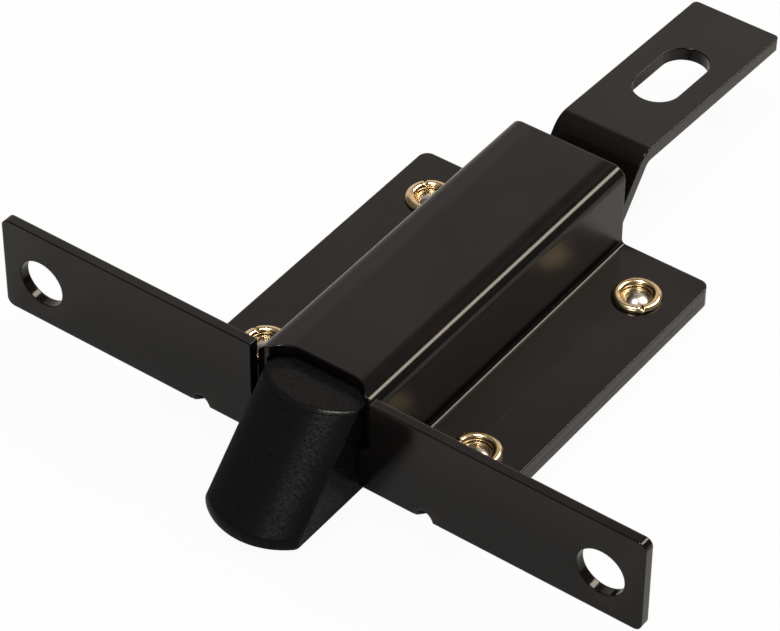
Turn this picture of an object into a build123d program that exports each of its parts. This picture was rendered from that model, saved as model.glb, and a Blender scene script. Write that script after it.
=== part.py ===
from build123d import *
import os
from math import cos, pi, radians, sin, tan

# Spring latch for a compartment door. A bevelled bolt slides in a hat-section case on a folded
# base plate, and a flat strap pulls it back against a coil spring.
# Millimetres. X runs across the ears, Y from the ears' front face to the rear, and Z up.
# The origin lies midway between the two mounting holes, on the ears' front face.

# Base plate, one folded sheet
base_sheet = 2.0
plate_width = 63.5
plate_length = 77.5  # from the ears' front face to the rear edge
plate_corner = 2.0
bend_radius = 1.7  # inside each fold

# Ears of the base plate, with heights above the plate's underside
ear_span = 136.0
ear_height = 22.2
ear_foot = 2.3  # lower edge of an ear, beyond its fold
ear_step = 10.5  # where the way between the ears widens from the bolt to the case
ear_corner = 1.5
ear_case_gap = 0.1  # between an ear's inner end and the line of the case's wall
hole_inset = 8.45  # from an ear's outer end to its hole
hole_diameter = 9.5
hole_height = 11.2
fold_relief = 2.2  # width of the slit at the inner end of a fold
fold_slot_width = 4.4  # slot pierced through the middle of a fold
fold_slot_length = 5.8
fold_slot_inset = 7.8  # from the plate's side edge

# Tab lanced up from the base plate: the spring's seat and the strap's two stops
tab_width = 9.0
tab_inset = 15.5  # from the plate's rear edge to the tab's front face
tab_corner = 1.5
lance_gap = 0.6

# Case, one pressed hat section
case_sheet = 2.0
case_width = 25.0
case_rise = 19.4  # from the plate's top to the case's top
case_top_radius = 2.5
case_foot_radius = 0.9
fold_gap = 0.3  # between the case's flange and the fold of an ear
mouth_depth = 3.0  # how far the case's top is cut back at the front, between its walls
mouth_corner = 5.0

# Semi-tubular rivets that hold the case to the base plate
rivet_front = 17.0  # from the ears' front face
rivet_rear_inset = 10.75  # from the plate's rear edge
rivet_side_inset = 8.9  # from the plate's side edge
rivet_shank = 6.8
rivet_rim = 9.3
rivet_rim_height = 1.15
rivet_rim_bands = 3  # flats that make up the rolled rim
rivet_bore = 5.6
rivet_cup_depth = 1.0  # below the case's flange
rivet_head = 11.0
rivet_head_height = 1.8
rivet_head_flat = 7.6
rivet_clearance = 0.1

# Bolt, one moulded piece
side_clearance = 0.6
top_clearance = 0.6
nose_reach = 20.9  # from the ears' front face to the middle of the tip
nose_bulge = 4.2  # how far the middle of the tip stands ahead of its sides
nose_land = 1.6  # height of the blunt tip, below the bevel
nose_corner = 1.6  # at the sides of the tip, seen from above
nose_root = 5.0  # from the ears' front face to where the nose steps up over the strap
bevel_angle = 45.5
bolt_length = 30.0  # from the ears' front face to the bolt's rear
bolt_edge = 0.5
throat_clearance = 0.3
pocket_depth = 12.0
pocket_wall = 1.3
travel = 16.0

# Strap, one bent flat bar
strap_sheet = 2.7
strap_clearance = 0.975  # between the strap's edge and the case's wall
strap_seat_gap = 0.2  # between the strap's front end and the bolt's step
lift_clearance = 0.1  # between the strap and the plate
strap_bend = 2.0  # inside each bend
ramp_gap = 3.5  # from the plate's rear edge to the foot of the ramp
ramp_angle = 52.0
tail_lift = 11.3
tail_length = 45.2
tail_droop = 2.8
tail_corner = 1.0
slot_width = 9.5
slot_length = 19.05
slot_inset = 13.7  # from the tail's end to the slot
stop_clearance = 0.3
window_clearance = 0.75
window_corner = 1.0

# Rivets that hold the strap to the bolt
strap_rivet_spacing = 10.0
strap_rivet_inset = 6.0  # from the strap's front end
strap_rivet_shank = 4.0
strap_rivet_head = 6.8
strap_rivet_head_height = 1.4
strap_rivet_sink = 1.2  # depth of the peened end in the strap
sink_clearance = 0.4

# Return spring
spring_wire = 1.2
spring_turns = 8
spring_chords = 9  # straight lengths of wire to a turn
spring_sides = 6  # flats round the wire
spring_clearance = 0.4  # round the spring, in its pocket
spring_end_gap = 0.05

# Heights
plate_bottom = -hole_height
plate_top = plate_bottom + base_sheet
ear_top = plate_bottom + ear_height
flange_top = plate_top + case_sheet
case_top = plate_top + case_rise
channel_top = case_top - case_sheet
bolt_bottom = plate_bottom
bolt_top = channel_top - top_clearance
strap_bottom = plate_top + lift_clearance
strap_top = strap_bottom + strap_sheet
spring_height = (strap_top + bolt_top) / 2

# Widths and places that the pieces share
fold_outer = bend_radius + base_sheet
ear_gap = case_width + 2 * ear_case_gap
fold_start = ear_gap / 2 + fold_relief
case_front = base_sheet
flange_front = fold_outer + fold_gap
bolt_width = case_width - 2 * (case_sheet + side_clearance)
bolt_height = bolt_top - bolt_bottom
strap_width = case_width - 2 * (case_sheet + strap_clearance)
rivet_spacing_x = plate_width - 2 * rivet_side_inset
rivet_spacing_y = plate_length - rivet_rear_inset - rivet_front
rivet_centre_y = rivet_front + rivet_spacing_y / 2
tab_front = plate_length - tab_inset
spring_diameter = bolt_top - strap_top - 2 * (pocket_wall + spring_clearance)
tab_top = spring_height + spring_diameter / 2
pocket_diameter = spring_diameter + 2 * spring_clearance
pocket_floor = bolt_length - pocket_depth
strap_front = nose_root + strap_seat_gap
strap_rivet_y = strap_front + strap_rivet_inset
throat_width = bolt_width + 2 * throat_clearance
throat_end = nose_root + travel + stop_clearance

os.makedirs("parts", exist_ok=True)


# Base plate: a folded angle, trimmed to two ears, with its tab lanced up
tab_fold_end = tab_front + fold_outer
tab_blank = tab_top - plate_bottom - fold_outer + pi / 2 * (bend_radius + base_sheet / 2)
lance_front = tab_fold_end - tab_blank - lance_gap
lance_length = tab_fold_end - lance_front

with BuildPart() as base_plate:
    with BuildSketch(Plane.YZ.offset(-plate_width / 2)):
        with BuildLine():
            FilletPolyline(
                (plate_length, plate_bottom), (0, plate_bottom), (0, ear_top), radius=fold_outer
            )
            offset(amount=base_sheet, side=Side.RIGHT)
        make_face()
    extrude(amount=plate_width)
    rear_corners = base_plate.edges().filter_by(Axis.Z).group_by(Axis.Y)[-1]
    fillet(rear_corners, plate_corner)
    # the ears run out past the plate's sides
    with BuildSketch(Plane.XZ):
        with Locations((0, (plate_bottom + ear_foot + ear_top) / 2)):
            RectangleRounded(ear_span, ear_height - ear_foot, ear_corner)
    extrude(amount=-base_sheet)
    # the way through for the bolt, a slit at the inner end of each fold, and the bolt's throat
    with BuildSketch(Plane.XZ):
        with Locations((0, (plate_bottom + ear_step + ear_top) / 2)):
            Rectangle(ear_gap, ear_height - ear_step)
        with Locations((0, (plate_bottom + ear_top) / 2)):
            Rectangle(throat_width, ear_height)
        with Locations((0, plate_bottom + ear_foot / 2)):
            Rectangle(2 * fold_start, ear_foot)
    extrude(amount=-base_sheet, mode=Mode.SUBTRACT)
    with BuildSketch(Plane.XY.offset(plate_bottom)):
        with Locations((0, (base_sheet + fold_outer) / 2)):
            Rectangle(2 * fold_start, bend_radius)
        with Locations((0, throat_end / 2)):
            Rectangle(throat_width, throat_end)
    extrude(amount=fold_outer, mode=Mode.SUBTRACT)
    for side in (-1, 1):
        fold_axis = (side * (plate_width / 2 - fold_slot_inset), fold_outer, plate_bottom + fold_outer)
        with BuildSketch(Plane(fold_axis, x_dir=(1, 0, 0), z_dir=(0, -1, -1))):
            SlotOverall(fold_slot_length, fold_slot_width, rotation=90)
        extrude(amount=2 * fold_outer, mode=Mode.SUBTRACT)
    # mounting holes through the ears, and rivet holes through the plate
    with BuildSketch(Plane.XZ):
        with GridLocations(ear_span - 2 * hole_inset, 0, 2, 1):
            Circle(hole_diameter / 2)
    extrude(amount=-base_sheet, mode=Mode.SUBTRACT)
    with BuildSketch(Plane.XY.offset(plate_bottom)):
        with Locations((0, rivet_centre_y)):
            with GridLocations(rivet_spacing_x, rivet_spacing_y, 2, 2):
                Circle(rivet_shank / 2 + rivet_clearance)
    extrude(amount=base_sheet, mode=Mode.SUBTRACT)
    # the lanced window, and the tab that was bent up out of it
    with BuildSketch(Plane.XY.offset(plate_bottom)):
        with Locations((0, lance_front + lance_length / 2)):
            Rectangle(tab_width + 2 * lance_gap, lance_length)
    extrude(amount=base_sheet, mode=Mode.SUBTRACT)
    with BuildSketch(Plane.YZ.offset(-tab_width / 2)):
        with BuildLine():
            FilletPolyline(
                (tab_fold_end + base_sheet, plate_bottom), (tab_front, plate_bottom),
                (tab_front, tab_top), radius=fold_outer,
            )
            offset(amount=base_sheet, side=Side.RIGHT)
        make_face()
    extrude(amount=tab_width)
    tab_corners = base_plate.edges().filter_by(Axis.Y).filter_by_position(
        Axis.Y, tab_front, tab_front + base_sheet
    ).group_by(Axis.Z)[-1]
    fillet(tab_corners, tab_corner)
base_plate.part.label = "base_plate"
export_step(base_plate.part, "parts/base_plate.step")


# Case: a hat section, its top cut back at the mouth and its flanges at the folds of the ears
with BuildPart() as case:
    with BuildSketch(Plane.XZ.offset(-case_front)):
        with BuildLine():
            FilletPolyline(
                (-plate_width / 2, flange_top),
                (-case_width / 2, flange_top),
                (-case_width / 2, case_top),
                (case_width / 2, case_top),
                (case_width / 2, flange_top),
                (plate_width / 2, flange_top),
                radius=[case_foot_radius, case_top_radius, case_top_radius, case_foot_radius],
            )
            offset(amount=case_sheet, side=Side.RIGHT)
        make_face()
    extrude(amount=-(plate_length - case_front))
    with BuildSketch(Plane.XY.offset(channel_top)):
        with Locations((0, case_front + mouth_depth - case_width / 2)):
            RectangleRounded(case_width - 2 * case_sheet, case_width, mouth_corner)
    extrude(amount=case_sheet, mode=Mode.SUBTRACT)
    rear_corners = case.edges().filter_by(Axis.Z).group_by(Axis.Y)[-1].sort_by(Axis.X)
    fillet([rear_corners[0], rear_corners[-1]], plate_corner)
    with BuildSketch(Plane.XY.offset(plate_top)):
        for side in (-1, 1):
            with Locations((side * (fold_start + plate_width / 2) / 2, flange_front / 2)):
                Rectangle(plate_width / 2 - fold_start, flange_front)
    extrude(amount=case_sheet, mode=Mode.SUBTRACT)
    with BuildSketch(Plane.XY.offset(plate_top)):
        with Locations((0, rivet_centre_y)):
            with GridLocations(rivet_spacing_x, rivet_spacing_y, 2, 2):
                Circle(rivet_shank / 2 + rivet_clearance)
    extrude(amount=case_sheet, mode=Mode.SUBTRACT)
case.part.label = "case"
export_step(case.part, "parts/case.step")


# Bolt: a block with a convex bevel, stepped over the strap and bored for the spring
slope = radians(bevel_angle)
bevel_crown = nose_bulge * sin(slope)
nose_side = nose_bulge - nose_reach

with BuildPart() as bolt:
    with BuildSketch(Plane.XY.offset(bolt_bottom)):
        with BuildLine():
            ThreePointArc((-bolt_width / 2, nose_side), (0, -nose_reach), (bolt_width / 2, nose_side))
            Polyline(
                (bolt_width / 2, nose_side),
                (bolt_width / 2, bolt_length),
                (-bolt_width / 2, bolt_length),
                (-bolt_width / 2, nose_side),
            )
        make_face()
    extrude(amount=bolt_height)
    # the bevel follows a round bar that lies along the slope
    bar_end = (0, -nose_reach, bolt_bottom + nose_land)
    with BuildSketch(Plane(bar_end, x_dir=(1, 0, 0), z_dir=(0, cos(slope), sin(slope)))):
        with BuildLine():
            ThreePointArc((-bolt_width / 2, bevel_crown), (0, 0), (bolt_width / 2, bevel_crown))
            Polyline(
                (bolt_width / 2, bevel_crown),
                (bolt_width / 2, -bolt_height),
                (-bolt_width / 2, -bolt_height),
                (-bolt_width / 2, bevel_crown),
            )
        make_face()
    extrude(amount=2 * bolt_height, both=True, mode=Mode.SUBTRACT)
    tip_corners = bolt.edges().filter_by(Axis.Z).group_by(Axis.Y)[0]
    fillet(tip_corners, nose_corner)
    bevel = bolt.faces().filter_by(GeomType.CYLINDER).sort_by(Axis.Z)[-1]
    chamfer(bevel.edges(), bolt_edge)
    with BuildSketch(Plane.XY.offset(bolt_bottom)):
        with Locations((0, (nose_root + bolt_length) / 2)):
            Rectangle(bolt_width, bolt_length - nose_root)
    extrude(amount=strap_top - bolt_bottom, mode=Mode.SUBTRACT)
    with BuildSketch(Plane.XZ.offset(-bolt_length)):
        with Locations((0, spring_height)):
            Circle(pocket_diameter / 2)
    extrude(amount=pocket_depth, mode=Mode.SUBTRACT)
    with Locations((0, strap_rivet_y, bolt_top)):
        with GridLocations(strap_rivet_spacing, 0, 2, 1):
            CounterBoreHole(
                strap_rivet_shank / 2 + rivet_clearance,
                strap_rivet_head / 2 + sink_clearance,
                strap_rivet_head_height + sink_clearance,
            )
bolt.part.label = "bolt"
export_step(bolt.part, "parts/bolt.step")


# Strap: a flat bar bent up to its tail, with a window round the tab and a slot in the tail
ramp_foot = plate_length + ramp_gap
ramp_head = ramp_foot + tail_lift / tan(radians(ramp_angle))
tail_end = ramp_head + tail_length
tail_fall = tail_length * tan(radians(tail_droop))
tail_bottom = strap_bottom + tail_lift
window_front = tab_front - travel - stop_clearance
window_rear = tab_fold_end + stop_clearance
slot_centre = tail_end - slot_inset - slot_length / 2
slot_bottom = tail_bottom - (slot_centre - ramp_head) * tan(radians(tail_droop))

with BuildPart() as pull_strap:
    with BuildSketch(Plane.YZ.offset(-strap_width / 2)):
        with BuildLine():
            FilletPolyline(
                (strap_front, strap_bottom),
                (ramp_foot, strap_bottom),
                (ramp_head, tail_bottom),
                (tail_end, tail_bottom - tail_fall),
                radius=[strap_bend + strap_sheet, strap_bend],
            )
            offset(amount=strap_sheet, side=Side.LEFT)
        make_face()
    extrude(amount=strap_width)
    end_face = pull_strap.faces().sort_by(Axis.Y)[-1]
    fillet(end_face.edges().filter_by(Axis.X, reverse=True), tail_corner)
    with BuildSketch(Plane.XY.offset(strap_bottom)):
        with Locations((0, (window_front + window_rear) / 2)):
            RectangleRounded(
                tab_width + 2 * window_clearance, window_rear - window_front, window_corner
            )
    extrude(amount=strap_sheet, mode=Mode.SUBTRACT)
    droop = radians(tail_droop)
    tail_plane = Plane(
        (0, slot_centre, slot_bottom),
        x_dir=(0, cos(droop), -sin(droop)),
        z_dir=(0, sin(droop), cos(droop)),
    )
    with BuildSketch(tail_plane):
        SlotOverall(slot_length, slot_width)
    extrude(amount=2 * strap_sheet, both=True, mode=Mode.SUBTRACT)
    with Locations(Plane((0, strap_rivet_y, strap_bottom), x_dir=(1, 0, 0), z_dir=(0, 0, -1))):
        with GridLocations(strap_rivet_spacing, 0, 2, 1):
            CounterSinkHole(
                strap_rivet_shank / 2 + rivet_clearance, strap_rivet_head / 2, strap_sheet
            )
pull_strap.part.label = "pull_strap"
export_step(pull_strap.part, "parts/pull_strap.step")


# Return spring: one coil between the pocket's floor and the tab
coil_radius = (spring_diameter - spring_wire) / 2
coil_start = pocket_floor + spring_end_gap + spring_wire / 2
coil_end = tab_front - spring_end_gap - spring_wire / 2
coil_chords = round(spring_turns * spring_chords)
coil_points = [
    (
        coil_radius * cos(2 * pi * i / spring_chords),
        coil_start + (coil_end - coil_start) * i / coil_chords,
        spring_height + coil_radius * sin(2 * pi * i / spring_chords),
    )
    for i in range(coil_chords + 1)
]

with BuildPart() as return_spring:
    with BuildLine() as coil:
        Polyline(*coil_points)
    with BuildSketch(Plane(coil.line @ 0, z_dir=coil.line % 0)):
        RegularPolygon(spring_wire / 2, spring_sides)
    sweep(path=coil.line, transition=Transition.RIGHT)
return_spring.part.label = "return_spring"
export_step(return_spring.part, "parts/return_spring.step")


# Case rivets: a head under the plate and a rolled rim on the case's flange
def make_case_rivet(x, y):
    grip = base_sheet + case_sheet
    rim_width = (rivet_rim - rivet_bore) / 2
    rim_points = [
        (
            rivet_rim / 2 - rim_width / 2 * (1 - cos(pi * i / rivet_rim_bands)),
            grip + rivet_rim_height * sin(pi * i / rivet_rim_bands),
        )
        for i in range(rivet_rim_bands + 1)
    ]
    with BuildPart() as rivet:
        with BuildSketch(Plane((x, y, plate_bottom), x_dir=(1, 0, 0), z_dir=(0, -1, 0))):
            with BuildLine():
                Polyline(
                    (0, grip - rivet_cup_depth),
                    (0, -rivet_head_height),
                    (rivet_head_flat / 2, -rivet_head_height),
                    (rivet_head / 2, 0),
                    (rivet_shank / 2, 0),
                    (rivet_shank / 2, grip),
                    *rim_points,
                    (rivet_bore / 2, grip - rivet_cup_depth),
                    close=True,
                )
            make_face()
        revolve(axis=Axis((x, y, 0), (0, 0, 1)))
    return rivet.part


rivet_x = rivet_spacing_x / 2
rivet_rear = plate_length - rivet_rear_inset
case_rivets = {
    "case_rivet_front_left": make_case_rivet(-rivet_x, rivet_front),
    "case_rivet_front_right": make_case_rivet(rivet_x, rivet_front),
    "case_rivet_rear_left": make_case_rivet(-rivet_x, rivet_rear),
    "case_rivet_rear_right": make_case_rivet(rivet_x, rivet_rear),
}
for name, case_rivet in case_rivets.items():
    case_rivet.label = name
    export_step(case_rivet, f"parts/{name}.step")


# Strap rivets: a flat head sunk in the bolt's top and an end peened into the strap
def make_strap_rivet(x):
    shank = strap_rivet_shank / 2
    head = strap_rivet_head / 2
    head_base = bolt_top - strap_rivet_head_height - sink_clearance
    with BuildPart() as rivet:
        with BuildSketch(Plane((x, strap_rivet_y, 0), x_dir=(1, 0, 0), z_dir=(0, -1, 0))):
            with BuildLine():
                Polyline(
                    (0, strap_bottom),
                    (head - sink_clearance, strap_bottom),
                    (shank, strap_bottom + strap_rivet_sink),
                    (shank, head_base),
                    (head, head_base),
                    (head, head_base + strap_rivet_head_height),
                    (0, head_base + strap_rivet_head_height),
                    close=True,
                )
            make_face()
        revolve(axis=Axis((x, strap_rivet_y, 0), (0, 0, 1)))
    return rivet.part


strap_rivets = {
    "strap_rivet_left": make_strap_rivet(-strap_rivet_spacing / 2),
    "strap_rivet_right": make_strap_rivet(strap_rivet_spacing / 2),
}
for name, strap_rivet in strap_rivets.items():
    strap_rivet.label = name
    export_step(strap_rivet, f"parts/{name}.step")
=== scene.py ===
import math

import bmesh
import bpy
from mathutils import Matrix, Quaternion, Vector


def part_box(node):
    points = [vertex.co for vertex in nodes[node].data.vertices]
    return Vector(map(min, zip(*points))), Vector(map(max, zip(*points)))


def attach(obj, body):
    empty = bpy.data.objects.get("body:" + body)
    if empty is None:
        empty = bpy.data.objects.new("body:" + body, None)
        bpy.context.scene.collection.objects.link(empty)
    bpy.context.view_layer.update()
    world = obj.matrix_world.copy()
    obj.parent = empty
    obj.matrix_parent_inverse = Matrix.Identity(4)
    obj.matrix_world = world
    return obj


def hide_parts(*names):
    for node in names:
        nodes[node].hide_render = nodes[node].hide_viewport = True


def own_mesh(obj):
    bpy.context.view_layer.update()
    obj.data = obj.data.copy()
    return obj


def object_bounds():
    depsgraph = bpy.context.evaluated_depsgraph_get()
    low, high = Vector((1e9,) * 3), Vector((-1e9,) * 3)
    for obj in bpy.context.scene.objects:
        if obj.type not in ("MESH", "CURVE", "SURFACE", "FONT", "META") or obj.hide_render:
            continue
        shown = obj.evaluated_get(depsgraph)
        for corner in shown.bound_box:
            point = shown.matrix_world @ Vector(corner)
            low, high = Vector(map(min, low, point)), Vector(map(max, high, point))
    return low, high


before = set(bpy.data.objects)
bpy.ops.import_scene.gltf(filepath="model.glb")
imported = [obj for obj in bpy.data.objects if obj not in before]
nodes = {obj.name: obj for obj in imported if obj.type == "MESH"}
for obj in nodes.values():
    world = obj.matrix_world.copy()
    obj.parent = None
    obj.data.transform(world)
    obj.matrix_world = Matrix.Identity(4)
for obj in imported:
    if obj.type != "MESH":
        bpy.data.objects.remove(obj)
cad_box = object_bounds()
scene = bpy.context.scene

MM = 0.001
WHITE = (1, 1, 1, 1)

# Camera: its place in metres, the photograph's viewing angle in degrees, and its lens and sensor in
# millimetres
CAMERA_PLACE = Vector((0.2875, -0.3718, 0.4497))
CAMERA_AZIMUTH = 36.06
CAMERA_ELEVATION = 42.14
CAMERA_ROLL = 0.31
CAMERA_LENS = 176.3
CAMERA_SENSOR = 36
CAMERA_NEAR = 0.01
CAMERA_FAR = 50

# Finishes: a scale is about the number of grains to the metre. A pair of roughnesses lies at 0 and 1
# of its noise, and a pair of tones at these ends. The bolt's pairs both lie at its speckle's ends.
NOISE_ENDS = (0.3, 0.7)

# Edge rounding left by blanking and coating the sheet, and by the mould on the bolt
SHEET_EDGE = 0.4 * MM
BOLT_EDGE = 0.6 * MM
EDGE_SAMPLES = 16

# Black coat on the sheets, with a fine orange peel and longer waves
COAT_SPECULAR = 0.25
COAT_TONES = ((0.0045, 0.004, 0.0038), (0.008, 0.007, 0.0066))
COAT_TONE_SCALE = 60
COAT_ROUGHNESS = (0.09, 0.16)
COAT_GLOSS_SCALE = 140
PEEL_SCALE = 1100
PEEL_HEIGHT = 0.002 * MM
PEEL_STRENGTH = 0.5
WAVE_SCALE = 150
WAVE_HEIGHT = 0.01 * MM
WAVE_STRENGTH = 0.2

# Where the case's top begins to turn towards its bends, measured from the middle of the case
SHOULDER_START = 7.0 * MM
SHOULDER_END = 10.6 * MM
SHOULDER_DROP = 0.27 * MM

# The case's upright walls, this far from its middle, which take less of the coat and are duller
WALL_PLACE = 12.5 * MM
WALL_MARGIN = 0.15 * MM
WALL_ROUGHNESS = 0.3

# Moulded bolt: a speckled grain, and a top that the case has worn smooth down to a depth
BOLT_SPECULAR = 0.07
BOLT_TONES = ((0.0055, 0.0055, 0.0057), (0.0105, 0.0105, 0.0108))
BOLT_ROUGHNESS = (0.42, 0.16)
SPECKLE_SCALE = 2200
SPECKLE_ENDS = (0.35, 0.65)
GRAIN_SCALE = 2600
GRAIN_HEIGHT = 0.02 * MM
WORN_DEPTH = 0.8 * MM
WORN_ROUGHNESS = 0.13

# Steel of the spring and of the strap's rivets
SPRING_TONES = ((0.3, 0.3, 0.31), (0.5, 0.5, 0.5))
STRAP_RIVET_TONES = ((0.42, 0.42, 0.43), (0.62, 0.62, 0.6))
STEEL_TONE_SCALE = 400
STEEL_ROUGHNESS = (0.22, 0.42)
STEEL_GLOSS_SCALE = 1500
STEEL_GRAIN_SCALE = 3000
STEEL_GRAIN_HEIGHT = 0.003 * MM
STEEL_GRAIN_STRENGTH = 0.5

# Yellow plating of the case rivets, with bare metal on the dome in the cup
BARE_TONE = (0.5, 0.475, 0.455)
PLATED_TONE = (0.8, 0.64, 0.39)
BARE_ROUGHNESS = 0.17
PLATED_ROUGHNESS = 0.08
MOTTLE_TONES = ((0.8, 0.76, 0.68), (1, 1, 1))
MOTTLE_SCALE = 700
MOTTLE_ROUGHNESS = (0.05, 0.18)
MOTTLE_GLOSS_SCALE = 1800
WORKED_SCALE = 1400
WORKED_HEIGHT = 0.012 * MM
WORKED_STRENGTH = 0.4

# Case rivets: heights are measured from the top of the sheets they hold
RIVET_STEPS = 120
POLE_RADIUS = 1e-7  # a smaller ring is one point
DOME_RADIUS = 2.45 * MM
DOME_RISE = 0.9 * MM
DOME_FADE = 0.1 * MM  # over which bare metal gives way to plating
DOME_STEPS = 16
LEDGE_INNER = 2.5 * MM
LEDGE_OUTER = 2.78 * MM
LEDGE_HEIGHT = 0.12 * MM
LEDGE_STEPS = 8
GROOVE_DEPTH = 0.35 * MM
GROOVE_WIDTH = 0.05 * MM
RIM_RADIUS = 4.65 * MM
RIM_HEIGHT = 1.15 * MM
RIM_WIDTH = 1.85 * MM
RIM_BASE = 0.42 * MM  # height of the middle of the rim's section
RIM_START = math.radians(200)  # inside the cup, turned from the rim's outer side over its top
RIM_STEPS = 20
SHANK_RADIUS = 3.4 * MM
HEAD_RADIUS = 5.5 * MM
HEAD_EDGE = 0.5 * MM
HEAD_CHAMFER = 0.15 * MM
HEAD_STEPS = 10

# The split in each rolled rim, with its angle in degrees
CRACK_WIDTH = math.radians(5)
CRACK_DEPTH = 0.5
CRACK_ANGLES = {
    "case_rivet_front_left": 152,
    "case_rivet_front_right": 180,
    "case_rivet_rear_left": 138,
    "case_rivet_rear_right": 316,
}

# Return spring, with steps to a turn
WIRE = 1.2 * MM
WIRE_SIDES = 14
SPRING_TURNS = 8
SPRING_STEPS = 48

# Pale floor, and the share of plain white that the camera and the reflections see on it
FLOOR_SIZE = 20
FLOOR_COLOUR = (0.6, 0.6, 0.6, 1)
FLOOR_GLOW = 0.95
FLOOR_GLOW_MIRRORED = 0.12

# Studio light: a sky that is bright behind to the left, a key behind to the right, a small lamp
# overhead and one ahead
SKY_BRIGHT_SIDE = (-0.6, 0.8, 0)
SKY_EDGE = (0.66, 0.75)
SKY_BRIGHT = (0.86, 0.77, 0.74)
SKY_DARK = (0.12, 0.115, 0.11)
LAMP_TARGET = Vector((0, 0.04, 0))
LAMP_DISTANCE = 1.0
LAMP_ALONG = Vector((1, 0, 0))
KEY_DIRECTION = (0.234, 0.6, 0.765)
KEY_LENGTH = 0.3
KEY_WIDTH = 0.55
KEY_POWER = 8
KEY_COLOUR = (1.0, 0.88, 0.74)
TOP_DIRECTION = (-0.1, 0, 0.99)
TOP_LENGTH = 0.15
TOP_WIDTH = 0.18
TOP_POWER = 5
FRONT_DIRECTION = (0.2, -0.72, 0.66)
FRONT_SIZE = 0.4
FRONT_POWER = 1.6
FILL_COLOUR = (1.0, 0.97, 0.93)


# Shader nodes


def add(tree, kind, **settings):
    node = tree.nodes.new(kind)
    for key, value in settings.items():
        setattr(node, key, value)
    return node


def feed(tree, value, socket):
    """Links another node's output to a socket, or sets the socket to a plain value."""
    if isinstance(value, bpy.types.NodeSocket):
        tree.links.new(value, socket)
    else:
        socket.default_value = value


def calc(tree, operation, *values):
    node = add(tree, "ShaderNodeMath", operation=operation)
    for value, socket in zip(values, node.inputs):
        feed(tree, value, socket)
    return node.outputs[0]


def mix(tree, share, first, second, **settings):
    node = add(tree, "ShaderNodeMix", **settings)
    feed(tree, share, node.inputs["Factor"])
    feed(tree, first, node.inputs["A"])
    feed(tree, second, node.inputs["B"])
    return node.outputs["Result"]


def mix_shaders(tree, share, first, second):
    node = add(tree, "ShaderNodeMixShader")
    tree.links.new(share, node.inputs["Fac"])
    tree.links.new(first, node.inputs[1])
    tree.links.new(second, node.inputs[2])
    return node.outputs[0]


def map_range(tree, value, source=(0, 1), result=(0, 1), kind="LINEAR"):
    """Maps the source range of a value to the result range, and holds it at the ends."""
    node = add(tree, "ShaderNodeMapRange", interpolation_type=kind)
    for end, place in zip(("From Min", "From Max", "To Min", "To Max"), (*source, *result)):
        node.inputs[end].default_value = place
    tree.links.new(value, node.inputs["Value"])
    return node.outputs["Result"]


def ramp(tree, value, colours, ends=(0, 1)):
    """Turns a value into a colour, from the first colour at one end to the second at the other."""
    node = add(tree, "ShaderNodeValToRGB")
    for element, place, colour in zip(node.color_ramp.elements, ends, colours):
        element.position = place
        element.color = (*colour, 1)
    tree.links.new(value, node.inputs["Fac"])
    return node.outputs["Color"]


def noise(tree, coords, scale, detail=3, roughness=0.5):
    node = add(tree, "ShaderNodeTexNoise")
    node.inputs["Scale"].default_value = scale
    node.inputs["Detail"].default_value = detail
    node.inputs["Roughness"].default_value = roughness
    tree.links.new(coords, node.inputs["Vector"])
    return node.outputs["Fac"]


def bump(tree, height, distance, strength=1, normal=None):
    node = add(tree, "ShaderNodeBump")
    node.inputs["Distance"].default_value = distance
    node.inputs["Strength"].default_value = strength
    tree.links.new(height, node.inputs["Height"])
    if normal is not None:
        tree.links.new(normal, node.inputs["Normal"])
    return node.outputs["Normal"]


def rounded(tree, radius):
    node = add(tree, "ShaderNodeBevel", samples=EDGE_SAMPLES)
    node.inputs["Radius"].default_value = radius
    return node.outputs["Normal"]


def object_coords(tree):
    return add(tree, "ShaderNodeTexCoord").outputs["Object"]


def coordinate(tree, coords, axis):
    node = add(tree, "ShaderNodeSeparateXYZ")
    tree.links.new(coords, node.inputs[0])
    return node.outputs[axis]


def off_middle(tree, coords):
    """The distance from the plane that parts the left side from the right."""
    return calc(tree, "ABSOLUTE", coordinate(tree, coords, "X"))


# Finishes


def new_material(name):
    material = bpy.data.materials.new(name)
    material.use_nodes = True
    material.node_tree.nodes.clear()
    return material, material.node_tree


def principled(tree, tone, gloss, normal):
    shader = add(tree, "ShaderNodeBsdfPrincipled")
    tree.links.new(tone, shader.inputs["Base Color"])
    tree.links.new(gloss, shader.inputs["Roughness"])
    tree.links.new(normal, shader.inputs["Normal"])
    output = add(tree, "ShaderNodeOutputMaterial")
    tree.links.new(shader.outputs["BSDF"], output.inputs["Surface"])
    return shader


def shoulder(tree, coords, normal):
    """Tilts the case's top down towards its two long bends, where the sheet begins to turn."""
    turn = (SHOULDER_START, SHOULDER_END)
    fall = map_range(tree, off_middle(tree, coords), turn, (0, -SHOULDER_DROP), "SMOOTHSTEP")
    return bump(tree, fall, distance=1, normal=normal)


def dull_walls(tree, coords, gloss):
    """Gives the case's upright walls a roughness of their own."""
    wall = calc(tree, "COMPARE", off_middle(tree, coords), WALL_PLACE, WALL_MARGIN)
    return mix(tree, wall, gloss, WALL_ROUGHNESS, data_type="FLOAT")


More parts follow.
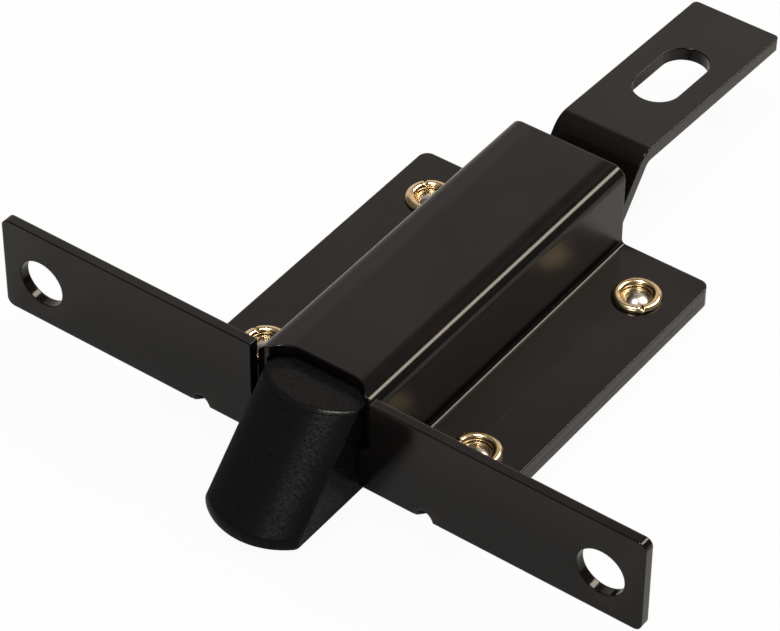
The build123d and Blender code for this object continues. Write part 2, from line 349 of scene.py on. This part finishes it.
def make_black_coat(name, is_case):
    material, tree = new_material(name)
    coords = object_coords(tree)
    tone = ramp(tree, noise(tree, coords, COAT_TONE_SCALE, detail=4), COAT_TONES, NOISE_ENDS)
    mist = noise(tree, coords, COAT_GLOSS_SCALE, detail=5, roughness=0.6)
    gloss = map_range(tree, mist, result=COAT_ROUGHNESS)
    form = rounded(tree, SHEET_EDGE)
    if is_case:
        gloss = dull_walls(tree, coords, gloss)
        form = shoulder(tree, coords, form)
    peel = bump(tree, noise(tree, coords, PEEL_SCALE, detail=2), PEEL_HEIGHT, PEEL_STRENGTH, form)
    wave = bump(tree, noise(tree, coords, WAVE_SCALE, detail=2), WAVE_HEIGHT, WAVE_STRENGTH, peel)
    shader = principled(tree, tone, gloss, wave)
    shader.inputs["Specular IOR Level"].default_value = COAT_SPECULAR
    return material


def make_bolt_black():
    material, tree = new_material("bolt_black_finish")
    coords = object_coords(tree)
    speckle = noise(tree, coords, SPECKLE_SCALE, detail=2)
    tone = ramp(tree, speckle, BOLT_TONES, SPECKLE_ENDS)
    matt = ramp(tree, speckle, [(level,) * 3 for level in BOLT_ROUGHNESS], SPECKLE_ENDS)
    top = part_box("bolt")[1].z
    wear = (top - WORN_DEPTH, top - WORN_DEPTH / 2)
    worn = map_range(tree, coordinate(tree, coords, "Z"), wear)
    gloss = mix(tree, worn, matt, WORN_ROUGHNESS, data_type="FLOAT")
    grain = noise(tree, coords, GRAIN_SCALE, roughness=0.6)
    form = bump(tree, grain, GRAIN_HEIGHT, normal=rounded(tree, BOLT_EDGE))
    shader = principled(tree, tone, gloss, form)
    shader.inputs["Specular IOR Level"].default_value = BOLT_SPECULAR
    return material


def make_steel(name, tones):
    material, tree = new_material(name)
    coords = object_coords(tree)
    cloud = noise(tree, coords, STEEL_TONE_SCALE, detail=4, roughness=0.6)
    tone = ramp(tree, cloud, tones, NOISE_ENDS)
    gloss = map_range(tree, noise(tree, coords, STEEL_GLOSS_SCALE), result=STEEL_ROUGHNESS)
    grain = noise(tree, coords, STEEL_GRAIN_SCALE, detail=2)
    drawn = bump(tree, grain, STEEL_GRAIN_HEIGHT, STEEL_GRAIN_STRENGTH)
    shader = principled(tree, tone, gloss, drawn)
    shader.inputs["Metallic"].default_value = 1
    return material


def make_rivet_gold():
    material, tree = new_material("rivet_gold_finish")
    coords = object_coords(tree)
    reach = add(tree, "ShaderNodeVectorMath", operation="LENGTH")
    tree.links.new(coords, reach.inputs[0])
    dome_edge = (DOME_RADIUS - DOME_FADE, DOME_RADIUS + DOME_FADE)
    plated = map_range(tree, reach.outputs["Value"], dome_edge)
    plating = ramp(tree, plated, (BARE_TONE, PLATED_TONE))
    cloud = noise(tree, coords, MOTTLE_SCALE, detail=4, roughness=0.6)
    mottle = ramp(tree, cloud, MOTTLE_TONES, NOISE_ENDS)
    tone = mix(tree, 1, plating, mottle, data_type="RGBA", blend_type="MULTIPLY")
    base = map_range(tree, plated, result=(BARE_ROUGHNESS, PLATED_ROUGHNESS))
    mist = map_range(tree, noise(tree, coords, MOTTLE_GLOSS_SCALE), result=MOTTLE_ROUGHNESS)
    gloss = calc(tree, "ADD", base, mist)
    worked = bump(tree, noise(tree, coords, WORKED_SCALE), WORKED_HEIGHT, WORKED_STRENGTH)
    shader = principled(tree, tone, gloss, worked)
    shader.inputs["Metallic"].default_value = 1
    return material


def dress(node, material):
    for place in node.material_slots:
        place.material = material


# Pieces made here


def skin(form, rings):
    """Joins each ring of points to the next one with smooth faces. A ring of one point is a pole."""
    for first, second in zip(rings, rings[1:]):
        steps = max(len(first), len(second))
        for step in range(steps):
            after = (step + 1) % steps
            loop = [first[step % len(first)], second[step % len(second)]]
            loop += [second[after % len(second)], first[after % len(first)]]
            corners = list(dict.fromkeys(loop))
            form.faces.new(corners).smooth = True


def finished_mesh(form, name):
    bmesh.ops.recalc_face_normals(form, faces=form.faces)
    mesh = bpy.data.meshes.new(name)
    form.to_mesh(mesh)
    form.free()
    return mesh


def new_piece(name, mesh, material, body):
    piece = bpy.data.objects.new(name, mesh)
    scene.collection.objects.link(piece)
    piece.data.materials.append(material)
    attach(piece, body)
    return piece


def rivet_profile(grip, head_height):
    """Half of the rivet's section, from the middle of the cup round to the middle of the head.

    Each point has a radius, a height, and 1 on the rolled rim or 0 elsewhere.
    """
    points = []
    for i in range(DOME_STEPS + 1):
        out = i / DOME_STEPS
        points.append((DOME_RADIUS * out, DOME_RISE * (1 - out * out) - GROOVE_DEPTH, 0))
    for i in range(LEDGE_STEPS + 1):
        a = math.pi * i / LEDGE_STEPS
        reach = LEDGE_INNER + (LEDGE_OUTER - LEDGE_INNER) * (1 - math.cos(a)) / 2
        rise = (GROOVE_DEPTH + LEDGE_HEIGHT) * math.sqrt(math.sin(a))
        points.append((reach, rise - GROOVE_DEPTH, 0))
    points.append((LEDGE_OUTER + GROOVE_WIDTH, -GROOVE_DEPTH / 2, 0))
    middle = RIM_RADIUS - RIM_WIDTH / 2
    rim_end = -math.asin(RIM_BASE / (RIM_HEIGHT - RIM_BASE))
    for i in range(RIM_STEPS + 1):
        a = RIM_START + (rim_end - RIM_START) * i / RIM_STEPS
        height = RIM_BASE + (RIM_HEIGHT - RIM_BASE) * math.sin(a)
        points.append((middle + RIM_WIDTH / 2 * math.cos(a), height, 1))
    points.append((SHANK_RADIUS, 0, 0))
    points.append((SHANK_RADIUS, -grip, 0))
    points.append((HEAD_RADIUS - HEAD_CHAMFER, -grip, 0))
    for i in range(HEAD_STEPS + 1):
        a = math.pi / 2 * i / HEAD_STEPS
        height = -grip - HEAD_EDGE - (head_height - HEAD_EDGE) * math.sin(a)
        points.append((HEAD_RADIUS * math.cos(a), height, 0))
    return points


def make_rivet(name, material):
    low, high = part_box(name)
    grip_top = high.z - RIM_HEIGHT
    plate_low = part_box("base_plate")[0].z
    crack = math.radians(CRACK_ANGLES[name])
    form = bmesh.new()
    rings = []
    for radius, height, rim in rivet_profile(grip_top - plate_low, plate_low - low.z):
        if radius < POLE_RADIUS:
            rings.append([form.verts.new((0, 0, height))])
            continue
        ring = []
        for step in range(RIVET_STEPS):
            a = 2 * math.pi * step / RIVET_STEPS
            off = abs((a - crack + math.pi) % (2 * math.pi) - math.pi)
            split = rim * max(0, 1 - off / CRACK_WIDTH)
            z = height * (1 - CRACK_DEPTH * split)
            ring.append(form.verts.new((radius * math.cos(a), radius * math.sin(a), z)))
        rings.append(ring)
    skin(form, rings)
    mesh = finished_mesh(form, name + "_form")
    piece = new_piece(name + "_rolled", mesh, material, "housing")
    piece.location = ((low.x + high.x) / 2, (low.y + high.y) / 2, grip_top)
    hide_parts(name)


def make_spring(material):
    low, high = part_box("return_spring")
    radius = (high.x - low.x) / 2 - WIRE / 2
    middle = (low.z + high.z) / 2
    start = low.y + WIRE / 2
    length = high.y - low.y - WIRE
    along = Vector((0, 1, 0))
    form = bmesh.new()
    rings = []
    count = SPRING_TURNS * SPRING_STEPS
    for i in range(count + 1):
        turn = 2 * math.pi * i / SPRING_STEPS
        out = Vector((math.cos(turn), 0, math.sin(turn)))
        centre = Vector((0, start + length * i / count, middle)) + out * radius
        ring = []
        for side in range(WIRE_SIDES):
            a = 2 * math.pi * side / WIRE_SIDES
            shift = out * math.cos(a) + along * math.sin(a)
            ring.append(form.verts.new(centre + shift * WIRE / 2))
        rings.append(ring)
    skin(form, rings)
    form.faces.new(rings[0])
    form.faces.new(rings[-1])
    mesh = finished_mesh(form, "coil_form")
    piece = new_piece("return_coil", mesh, material, "housing")
    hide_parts("return_spring")
    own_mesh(piece)


# Floor, light and camera


def make_floor():
    bpy.ops.mesh.primitive_plane_add(size=FLOOR_SIZE, location=(0, 0, cad_box[0].z))
    floor = bpy.context.object
    floor.name = "floor"
    material, tree = new_material("pale_floor")
    diffuse = add(tree, "ShaderNodeBsdfDiffuse")
    diffuse.inputs["Color"].default_value = FLOOR_COLOUR
    glow = add(tree, "ShaderNodeEmission")
    path = add(tree, "ShaderNodeLightPath")
    beyond = calc(tree, "MAXIMUM", path.outputs["Is Glossy Ray"], path.outputs["Is Transmission Ray"])
    mirrored = calc(tree, "MULTIPLY", beyond, FLOOR_GLOW_MIRRORED)
    direct = calc(tree, "MULTIPLY", path.outputs["Is Camera Ray"], FLOOR_GLOW)
    share = calc(tree, "MAXIMUM", direct, mirrored)
    upper = mix_shaders(tree, share, diffuse.outputs[0], glow.outputs[0])
    # seen from below, the floor is clear
    clear = add(tree, "ShaderNodeBsdfTransparent")
    below = add(tree, "ShaderNodeNewGeometry").outputs["Backfacing"]
    surface = mix_shaders(tree, below, upper, clear.outputs[0])
    output = add(tree, "ShaderNodeOutputMaterial")
    tree.links.new(surface, output.inputs["Surface"])
    floor.data.materials.append(material)


def make_world():
    """A sky with a bright and a dark side, which the camera itself sees as white."""
    world = bpy.data.worlds.new("studio")
    scene.world = world
    world.use_nodes = True
    tree = world.node_tree
    tree.nodes.clear()
    toward = add(tree, "ShaderNodeVectorMath", operation="DOT_PRODUCT")
    tree.links.new(add(tree, "ShaderNodeTexCoord").outputs["Generated"], toward.inputs[0])
    toward.inputs[1].default_value = SKY_BRIGHT_SIDE
    side = map_range(tree, toward.outputs["Value"], SKY_EDGE, kind="SMOOTHSTEP")
    shade = ramp(tree, side, (SKY_DARK, SKY_BRIGHT))
    path = add(tree, "ShaderNodeLightPath")
    colour = mix(tree, path.outputs["Is Camera Ray"], shade, WHITE, data_type="RGBA")
    background = add(tree, "ShaderNodeBackground")
    tree.links.new(colour, background.inputs["Color"])
    output = add(tree, "ShaderNodeOutputWorld")
    tree.links.new(background.outputs[0], output.inputs["Surface"])


def make_lamp(name, direction, length, width, power, colour):
    light = bpy.data.lights.new(name, "AREA")
    light.shape = "RECTANGLE"
    light.size = length
    light.size_y = width
    light.energy = power
    light.color = colour
    lamp = bpy.data.objects.new(name, light)
    scene.collection.objects.link(lamp)
    facing = Vector(direction).normalized()
    side = (LAMP_ALONG - LAMP_ALONG.dot(facing) * facing).normalized()
    lamp.rotation_mode = "QUATERNION"
    lamp.rotation_quaternion = Matrix((side, facing.cross(side), facing)).transposed().to_quaternion()
    lamp.location = LAMP_TARGET + facing * LAMP_DISTANCE


def make_camera():
    camera = bpy.data.objects.new("camera", bpy.data.cameras.new("camera"))
    scene.collection.objects.link(camera)
    camera.data.lens = CAMERA_LENS
    camera.data.sensor_width = CAMERA_SENSOR
    camera.data.clip_start = CAMERA_NEAR
    camera.data.clip_end = CAMERA_FAR
    azimuth = math.radians(CAMERA_AZIMUTH)
    elevation = math.radians(CAMERA_ELEVATION)
    level = Vector((-math.sin(azimuth), math.cos(azimuth), 0))
    look = level * math.cos(elevation) - Vector((0, 0, math.sin(elevation)))
    turn = look.to_track_quat("-Z", "Y") @ Quaternion((0, 0, 1), math.radians(CAMERA_ROLL))
    camera.rotation_mode = "QUATERNION"
    camera.rotation_quaternion = turn
    camera.location = CAMERA_PLACE
    scene.camera = camera


black_coat = make_black_coat("black_coat_finish", is_case=False)
case_coat = make_black_coat("case_coat_finish", is_case=True)
bolt_black = make_bolt_black()
spring_steel = make_steel("spring_steel_finish", SPRING_TONES)
rivet_steel = make_steel("rivet_steel_finish", STRAP_RIVET_TONES)
rivet_gold = make_rivet_gold()

for name in ("base_plate", "pull_strap"):
    dress(nodes[name], black_coat)
dress(nodes["case"], case_coat)
dress(nodes["bolt"], bolt_black)
for name in ("strap_rivet_left", "strap_rivet_right"):
    dress(nodes[name], rivet_steel)
for name in CRACK_ANGLES:
    make_rivet(name, rivet_gold)
make_spring(spring_steel)

make_floor()
make_world()
make_lamp("key", KEY_DIRECTION, KEY_LENGTH, KEY_WIDTH, KEY_POWER, KEY_COLOUR)
make_lamp("overhead", TOP_DIRECTION, TOP_LENGTH, TOP_WIDTH, TOP_POWER, FILL_COLOUR)
make_lamp("front", FRONT_DIRECTION, FRONT_SIZE, FRONT_SIZE, FRONT_POWER, FILL_COLOUR)
make_camera()
scene.view_settings.view_transform = "Standard"
